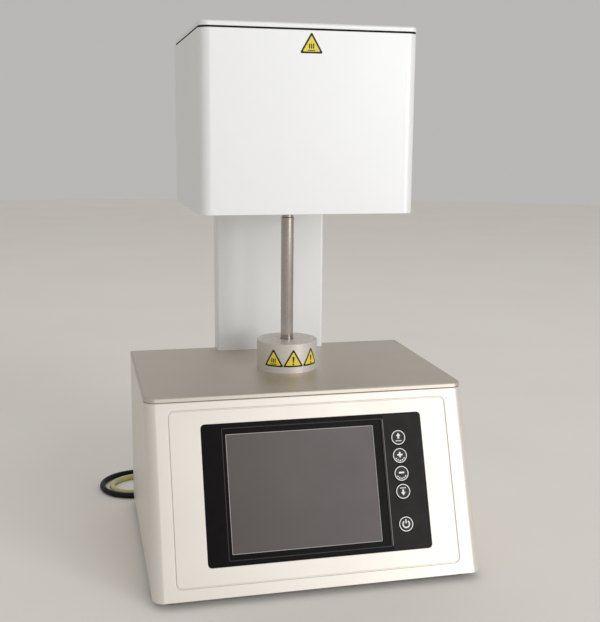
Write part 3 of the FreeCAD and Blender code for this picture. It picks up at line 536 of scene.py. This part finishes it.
def cords():
    """The mains lead with its plug and connector, and the vacuum hose with its coupling."""
    lead_turns = coil_points(middle("mains_coil"), 5, LEAD_D)
    hose_turns = coil_points(middle("hose_coil"), 4.5, HOSE_D)
    lead = cord_piece("mains_cord", LEAD_ROUTE + lead_turns + LEAD_TAIL, LEAD_D, "cord_black")
    hose = cord_piece("vacuum_line", HOSE_ROUTE + hose_turns + HOSE_TAIL, HOSE_D, "hose_clear")
    plug = refined("mains_plug", 0.7, 3)
    plug.data.materials.append(LOOKS["fitting_metal"].material)
    blades_from = LEAD_TAIL[-1][1] - PLUG_BODY
    for face in plug.data.polygons:
        face.material_index = 1 if face.center.y < blades_from else 0
    relief = refined("mains_connector", 0.8, 3)
    coupling = refined("hose_end", 0.5)
    lead_tie, hose_tie = tie("lead_tie", "mains_coil", -0.7), tie("hose_tie", "hose_coil", 0.9)
    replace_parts(lead, "mains_lead", "mains_coil")
    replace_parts(hose, "vacuum_hose", "hose_coil")


# ---- stage and light ----
WORLD = ((252, 250, 247), 0.5)     # colour and strength
FLOOR_RADIUS = 6
AIM = (0, 0, 0.3)       # where the lights point
LIGHTS = (      # name, place, size, watts, colour
    ("key", (2.1, -4.0, 2.1), (2.9, 2.5), 55, (253, 254, 255)),
    ("low", (2.7, -3.85, 0.75), (1.2, 1.1), 44, (253, 254, 255)),
    ("back", (0.4, 1.6, 2.6), (1.6, 1.2), 4, (255, 255, 255)),
)


def stage_and_light():
    """A large pale floor, a soft key light from the front right and dim surroundings."""
    scene = bpy.context.scene
    scene.view_settings.view_transform = "Standard"
    floor = bmesh.new()
    bmesh.ops.create_circle(floor, cap_ends=True, segments=128, radius=FLOOR_RADIUS)
    mesh = bpy.data.meshes.new("floor")
    floor.to_mesh(mesh)
    floor.free()
    ground = bpy.data.objects.new("floor", mesh)
    scene.collection.objects.link(ground)
    look = Look("pale_floor", (252, 248, 243), 0.85, Specular_IOR_Level=0.2)
    look.tint(look.noise(3, 4), (248, 243, 237), 0.0, 0.6)
    look.bump(look.noise(120, 3), 0.05, 0.2 * MM)
    mesh.materials.append(look.material)
    world = bpy.data.worlds.new("surroundings")
    world.use_nodes = True
    scene.world = world
    sky = world.node_tree.nodes["Background"]
    sky.inputs["Color"].default_value = linear(*WORLD[0])
    sky.inputs["Strength"].default_value = WORLD[1]
    target = Vector(AIM)
    for name, place, size, power, colour in LIGHTS:
        light = bpy.data.lights.new(name, "AREA")
        light.shape, light.size, light.size_y, light.energy = "RECTANGLE", *size, power
        light.color = linear(*colour)[:3]
        lamp = bpy.data.objects.new(name, light)
        lamp.location = place
        lamp.rotation_euler = (target - lamp.location).to_track_quat("-Z", "Y").to_euler()
        lamp.visible_camera = False
        scene.collection.objects.link(lamp)


# ---- control panel ----
ARROW = [(-0.95, -1.3), (0.95, -1.3), (0.95, 1.6), (2.5, 1.6), (0, 4.9), (-2.5, 1.6), (-0.95, 1.6)]
KEY_RING = (6.85, 7.75)      # radii of the printed ring on a key
KEY_OPENING = 8.75           # radius of the film's hole round a key
KEYS = ("key_up", "key_plus", "key_minus", "key_down", "key_power")
INSET_LIP, BEZEL_LIP, GLASS_LIP = 5.0, 5.0, 3.0     # how far each reaches behind the part round it
JOINT_DEPTH = 1.1            # of the groove's filling, under the inset plate's face
RIDGE_OFF = 16.6             # from the keys' middle line to the ridge beside the screen


def dashes(y, count=4, width=1.25, gap=0.45, height=1.1):
    """A short row of dashes under or over an arrow."""
    start = -(count * width + (count - 1) * gap) / 2
    return [rectangle(start + i * (width + gap), start + i * (width + gap) + width, y, y + height)
            for i in range(count)]


def dotted_arc(radius=5.3, count=5):
    """A row of small blocks along the lower part of a key's ring."""
    return [band(0, 0, radius - 0.7, radius + 0.7, a - 8, a + 8, 4)
            for a in [215 + 110 * i / (count - 1) for i in range(count)]]


def key_marks(node):
    """Outlines of a key's sign."""
    cross = [(-0.85, -3), (0.85, -3), (0.85, -0.85), (3, -0.85), (3, 0.85), (0.85, 0.85),
             (0.85, 3), (-0.85, 3), (-0.85, 0.85), (-3, 0.85), (-3, -0.85), (-0.85, -0.85)]
    lowered = [(x, 0.6 - y) for x, y in ARROW]
    return {
        "key_up": [ARROW] + dashes(-4.1),
        "key_plus": [[(x, y + 0.8) for x, y in cross]] + dotted_arc(),
        "key_minus": [rectangle(-3, 3, -0.1, 1.7)] + dotted_arc(),
        "key_down": [lowered] + dashes(3.0),
        "key_power": [band(0, 0, 2.9, 4.3, 125, 415, 32), rectangle(-0.65, 0.65, 0.7, 5.0)],
    }[node]


def keys():
    """Slightly domed caps, each with a printed ring and sign."""
    for node in KEYS:
        refined(node, 0.25)
        (x0, x1), (v0, v1), (w0, _) = panel_extent(node)
        x, v = (x0 + x1) / 2, (v0 + v1) / 2
        marks = [circle(0, 0, KEY_RING[1]), circle(0, 0, KEY_RING[0])] + key_marks(node)
        from_outlines(node + "_print", marks, 0.06,
                      lambda a, b, out: on_panel(x + a, v - b, out - w0), "print_white", BODY_OF[node])


def shown(node, lip):
    """The part of a panel node that shows, in millimetres, and how deep its face lies."""
    (x0, x1), (v0, v1), (face, _) = panel_extent(node)
    return x0 * 1000 + lip, x1 * 1000 - lip, v0 * 1000 + lip, v1 * 1000 - lip, face


def flat_on(depth):
    """Puts outlines on the panel, this deep under its top surface."""
    return lambda a, b, out: on_panel(a, b, out - depth)


def inset_joint():
    """Filling of the groove round the inset plate."""
    p0, p1, q0, q1, face = shown("inset_plate", INSET_LIP)
    joint = [rectangle(p0 - 0.95, p1 + 0.95, q0 - 0.95, q1 + 0.95, 6.45),
             rectangle(p0 - 0.05, p1 + 0.05, q0 - 0.05, q1 + 0.05, 5.55)]
    from_outlines("inset_joint", joint, 0.2, flat_on(face + JOINT_DEPTH * MM), "cover_paint", "housing")


def bezel_details():
    """Charcoal film over the key field, a ridge beside the screen coloured as a painted highlight, and the
    recess's edge as a thin frame in a dimmer painted highlight.
    """
    x0, x1, v0, v1, face = shown("bezel", BEZEL_LIP)
    key_x = middle("key_up").x * 1000
    ridge = key_x - RIDGE_OFF
    holes = []
    for node in KEYS:
        _, (k0, k1), _ = panel_extent(node)
        holes.append(circle(key_x, (k0 + k1) * 500, KEY_OPENING))
    film = rectangle(ridge + 1.0, x1 - 0.6, v0 + 0.6, v1 - 0.6, 3.2)
    from_outlines("key_field_film", [film] + holes, 0.12, flat_on(face), "film_charcoal", "housing")
    top, foot = v0 + 5.2, v1 - 5.2
    # the ridge is coloured light grey as a painted highlight of its lit edge
    from_outlines("screen_ridge", [rectangle(ridge, ridge + 0.9, top, foot, 0.4)], 0.35, flat_on(face),
                  "bezel_gloss", "housing", looks=["painted_edge_highlight"])
    # a thin lighter frame on the recess's edge: a dimmer painted highlight
    from_outlines("recess_edge", [rectangle(x0 + 21.2, ridge - 0.5, top - 0.5, foot + 0.5, 1.5),
                                  rectangle(x0 + 21.9, ridge - 1.2, top + 0.2, foot - 0.2, 1.0)],
                  0.1, flat_on(face), "bezel_gloss", "housing", looks=["painted_dim_highlight"])


def screen_outline():
    """Pale line round the display glass's edge: a painted highlight where the step round the glass catches light.
    """
    s0, s1, t0, t1, face = shown("screen_glass", GLASS_LIP)
    border = [rectangle(s0, s1, t0, t1, 0.8), rectangle(s0 + 0.6, s1 - 0.6, t0 + 0.6, t1 - 0.6, 0.5)]
    from_outlines("screen_outline", border, 0.08, flat_on(face), "outline_grey", "housing")


# ---- stickers ----
STICKER = 24.2                      # millimetres along one side
STICKER_FIELD = STICKER - 6.2       # the yellow field's side
COLLAR_LABELS = 0.0142              # heights of the labels' middles: above the base
HEAD_LABEL = 0.0155                 # and below the head cover's top edge


def sign_marks(kind):
    """Generic signs: a mark of attention, or three bars over a line."""
    if kind == "attention":
        stroke = arc(0, 4.0, 1.2, 0, 180, 8) + arc(0, -1.2, 0.6, 180, 360, 8)
        return [stroke, circle(0, -3.7, 1.1, 20)]
    bars = [rectangle(x - 0.6, x + 0.6, -2.4, 2.6, 0.5) for x in (-2.1, 0, 2.1)]
    return bars + [rectangle(-3.8, 3.8, -4.5, -3.6, 0.3)]


def sticker(name, kind, place):
    """Triangular label: black border, yellow field and a black sign, one on another."""
    cuts = [i * 1.5 for i in range(-9, 10)]
    layers = (      # part, outlines, thickness, height of its underside, look
        ("_border", [triangle(STICKER, 1.2)], 0.08, 0, "sticker_black"),
        ("_field", [triangle(STICKER_FIELD, 0.6)], 0.05, 0.08, "sticker_yellow"),
        ("_sign", sign_marks(kind), 0.05, 0.13, "sticker_black"),
    )
    for part, outlines, thickness, rise, look in layers:
        from_outlines(name + part, outlines, thickness,
                      lambda x, y, out, rise=rise: place(x, y, out + rise * MM), look, "housing", cuts)


def stickers():
    """Three labels round the collar and one on the head."""
    def on_collar(turn):
        def place(x, y, out):
            a = math.radians(turn) + x / COLLAR_R
            r = COLLAR_R + out
            height = BASE_TOP + COLLAR_LABELS + y
            return Vector((COLLAR.x + r * math.sin(a), COLLAR.y - r * math.cos(a), height))
        return place
    for name, turn, kind in (("left", -38, "heat"), ("middle", 0, "attention"),
                             ("right", 38.5, "attention")):
        sticker("collar_label_" + name, kind, on_collar(turn))
    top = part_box("head_cover")[1].z
    sticker("head_label", "heat", lambda x, y, out: Vector((x, HEAD_FRONT - out, top - HEAD_LABEL + y)))


# ---- lift ----
NECK_Z = 0.3732     # height at which the rod narrows to its neck
NECK_STEP = 0.9     # millimetres by which it narrows
ROD_SHORT = 3.0     # millimetres from the made rod's end to the CAD rod's


def lift():
    """Ground rod with a short neck under the table."""
    low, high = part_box("lift_rod")
    radius = (high.x - low.x) * 500
    neck = (NECK_Z - low.z) * 1000
    top = (high.z - low.z) * 1000 - ROD_SHORT
    foot = 1.0
    profile = [(0, 0), (radius - foot, 0), (radius, foot), (radius, neck - NECK_STEP),
               (radius - NECK_STEP, neck), (radius - NECK_STEP, top), (0, top)]
    rod = turned("ground_rod", profile, Vector(((low.x + high.x) / 2, (low.y + high.y) / 2, low.z)),
                 "rod_steel", "lift", steps=128)
    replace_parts(rod, "lift_rod")


# ---- rear ----
GUARD_WIRE = 0.85                       # millimetres: the guard wire's radius
GUARD_RINGS = (9, 15, 21, 27)           # and the rings' radii
ROCKER_TILT = math.radians(-7)          # of the rocker at rest
ROCKER_LEAN = math.atan2(1.4, 6.6)      # of each half of its face
ROCKER_FACE = 2.6                       # millimetres from the pivot to the face's middle


def fan_guard():
    """Wire guard over the fan: rings and spokes of round wire."""
    centre = middle("fan_grille")
    centre.y = REAR + 0.001
    wires = [hoop("fan_guard_ring_%d" % i, r, GUARD_WIRE, centre, Vector((0, 1, 0)), "grille_wire", "housing")
             for i, r in enumerate(GUARD_RINGS)]
    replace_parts(wires[0], "fan_grille")
    for i in range(4):
        a = math.radians(45 + 90 * i)
        out = Vector((math.sin(a), 0, math.cos(a)))
        profile = [(0, 8.5), (GUARD_WIRE, 8.6), (GUARD_WIRE, 33.6), (0, 33.8)]
        turned("fan_guard_spoke_%d" % i, profile, centre, "grille_wire", "housing", out, 12)


def rocker_marks():
    """A bar and a ring on the mains switch, moulded in white."""
    joint = next(j for j in frame["joints"] if j["name"] == "switch_rock")
    pivot = Vector(joint["pos_m"])
    for name, at, outlines in (("on", 3.4, [rectangle(-0.4, 0.4, -1.8, 1.8)]),
                               ("off", -3.4, [circle(0, 0, 1.7, 32), circle(0, 0, 1.0, 32)])):
        def place(a, b, out, at=at):
            up = at * MM + b * math.cos(ROCKER_LEAN)
            depth = ROCKER_FACE * MM + abs(up) * math.tan(ROCKER_LEAN) + out
            turned_to = Matrix.Rotation(ROCKER_TILT, 3, "X") @ Vector((0, depth, up))
            return Vector((pivot.x - a, pivot.y + turned_to.y, pivot.z + turned_to.z))
        from_outlines("rocker_mark_" + name, outlines, 0.06, place, "print_white", "rocker")


# ---- everything ----
EDGE_ROUNDING = {       # millimetres
    "base_cover": 0.5, "top_plate": 0.4, "inset_plate": 0.45, "bezel": 0.3, "screen_glass": 0.25,
    "head_cover": 0.5, "head_lid": 0.35, "column_shell": 0.4, "column_back": 0.4,
    "head_back": 0.35, "head_floor": 0.35, "rear_panel": 0.35, "base_floor": 0.35, "feet": 0.8,
    "collar": 0.5, "firing_table": 0.3, "table_plinth": 0.8, "chamber_flange": 0.35,
    "mains_inlet": 0.4, "switch_frame": 0.5, "switch_rocker": 0.4, "fan_frame": 0.3, "fan_rotor": 0.2,
    "hose_fitting": 0.35, "rear_screws": 0.25,
}

aim_camera()
cords()
stage_and_light()
for node_name, node_object in frame["nodes"].items():
    node_object.data.materials.clear()
    node_object.data.materials.append(LOOKS[SLOT_OF[node_name]].material)
for node_name, rounding in EDGE_ROUNDING.items():
    refined(node_name, rounding)
keys()
inset_joint()
bezel_details()
screen_outline()
stickers()
lift()
fan_guard()
rocker_marks()
